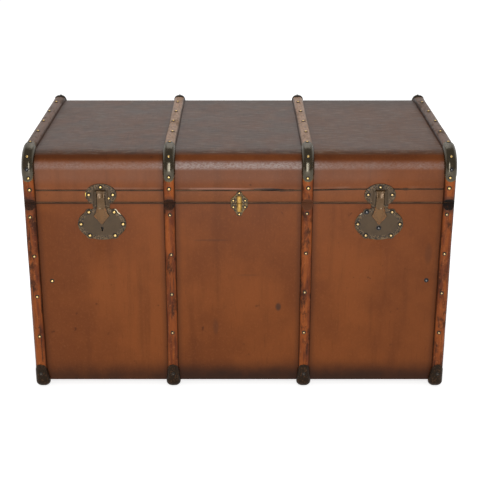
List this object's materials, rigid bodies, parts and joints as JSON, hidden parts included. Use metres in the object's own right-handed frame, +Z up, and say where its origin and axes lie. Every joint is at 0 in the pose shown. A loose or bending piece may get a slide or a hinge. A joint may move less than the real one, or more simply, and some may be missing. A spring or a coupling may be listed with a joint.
{
  "type": "dome top trunk",
  "caption": "Old travelling trunk of canvas over boards, with bentwood slats, a hinged lid with rounded edges, hasp locks and end handles.",
  "frame": {"origin": "on the floor under the middle of the box", "axes": "+X along the front to the right, +Y to the back, +Z up"},
  "size_m": [0.963, 0.51, 0.56],
  "materials": {
    "canvas": "painted and varnished",
    "slat_wood": "worn varnish",
    "black_steel": "japanned",
    "aged_steel": "dull brassed",
    "bronzed_steel": "rubbed bronze",
    "brass": "worn",
    "iron": "aged",
    "leather": "worn",
    "pine": "raw",
    "paper": "matt"
  },
  "bodies": {
    "box": {"front_board": "pine", "back_board": "pine", "left_end_board": "pine", "right_end_board": "pine", "bottom_board": "pine", "box_canvas": "canvas", "box_lining": "paper", "dust_lip": "pine", "front_slat_1": "slat_wood", "front_slat_2": "slat_wood", "front_slat_3": "slat_wood", "front_slat_4": "slat_wood", "back_slat_1": "slat_wood", "back_slat_2": "slat_wood", "back_slat_3": "slat_wood", "back_slat_4": "slat_wood", "bottom_runner_1": "slat_wood", "bottom_runner_2": "slat_wood", "bottom_runner_3": "slat_wood", "bottom_runner_4": "slat_wood", "front_foot_caps": "black_steel", "back_foot_caps": "black_steel", "lock_cases": "iron", "left_lock_plate": "aged_steel", "right_lock_plate": "aged_steel", "keyhole_plug": "iron", "dowel_lower_half": "brass", "left_hinge_box_leaf": "iron", "right_hinge_box_leaf": "iron", "hinge_pins": "iron", "left_handle_brackets": "iron", "right_handle_brackets": "iron"},
    "lid": {"lid_top_board": "pine", "lid_front_rail": "pine", "lid_back_rail": "pine", "lid_front_bend": "pine", "lid_back_bend": "pine", "lid_left_end": "pine", "lid_right_end": "pine", "lid_canvas": "canvas", "lid_edge_band": "canvas", "lid_lining": "paper", "lid_slat_1": "slat_wood", "lid_slat_2": "slat_wood", "lid_slat_3": "slat_wood", "lid_slat_4": "slat_wood", "front_corner_caps": "black_steel", "back_corner_caps": "black_steel", "left_hasp_plate": "aged_steel", "right_hasp_plate": "aged_steel", "hasp_pins": "iron", "dowel_upper_half": "brass", "left_hinge_lid_leaf": "iron", "right_hinge_lid_leaf": "iron"},
    "left_hasp": {"left_hasp": "bronzed_steel"},
    "right_hasp": {"right_hasp": "bronzed_steel"},
    "left_handle": {"left_handle_rod": "iron", "left_handle_grip": "leather"},
    "right_handle": {"right_handle_rod": "iron", "right_handle_grip": "leather"}
  },
  "joints": [
    {"name": "lid_hinge", "type": "hinge", "parent": "box", "child": "lid", "pos_m": [0, 0.246, 0.438], "axis": [-1, 0, 0], "range_deg": [0, 100]},
    {"name": "left_hasp_hinge", "type": "hinge", "parent": "lid", "child": "left_hasp", "pos_m": [-0.29397, -0.2469, 0.464], "axis": [-1, 0, 0], "range_deg": [0, 120]},
    {"name": "right_hasp_hinge", "type": "hinge", "parent": "lid", "child": "right_hasp", "pos_m": [0.29932, -0.2469, 0.464], "axis": [-1, 0, 0], "range_deg": [0, 120]},
    {"name": "left_handle_swing", "type": "hinge", "parent": "box", "child": "left_handle", "pos_m": [-0.4715, 0, 0.308], "axis": [0, 1, 0], "range_deg": [0, 180]},
    {"name": "right_handle_swing", "type": "hinge", "parent": "box", "child": "right_handle", "pos_m": [0.4715, 0, 0.308], "axis": [0, -1, 0], "range_deg": [0, 180]}
  ]
}
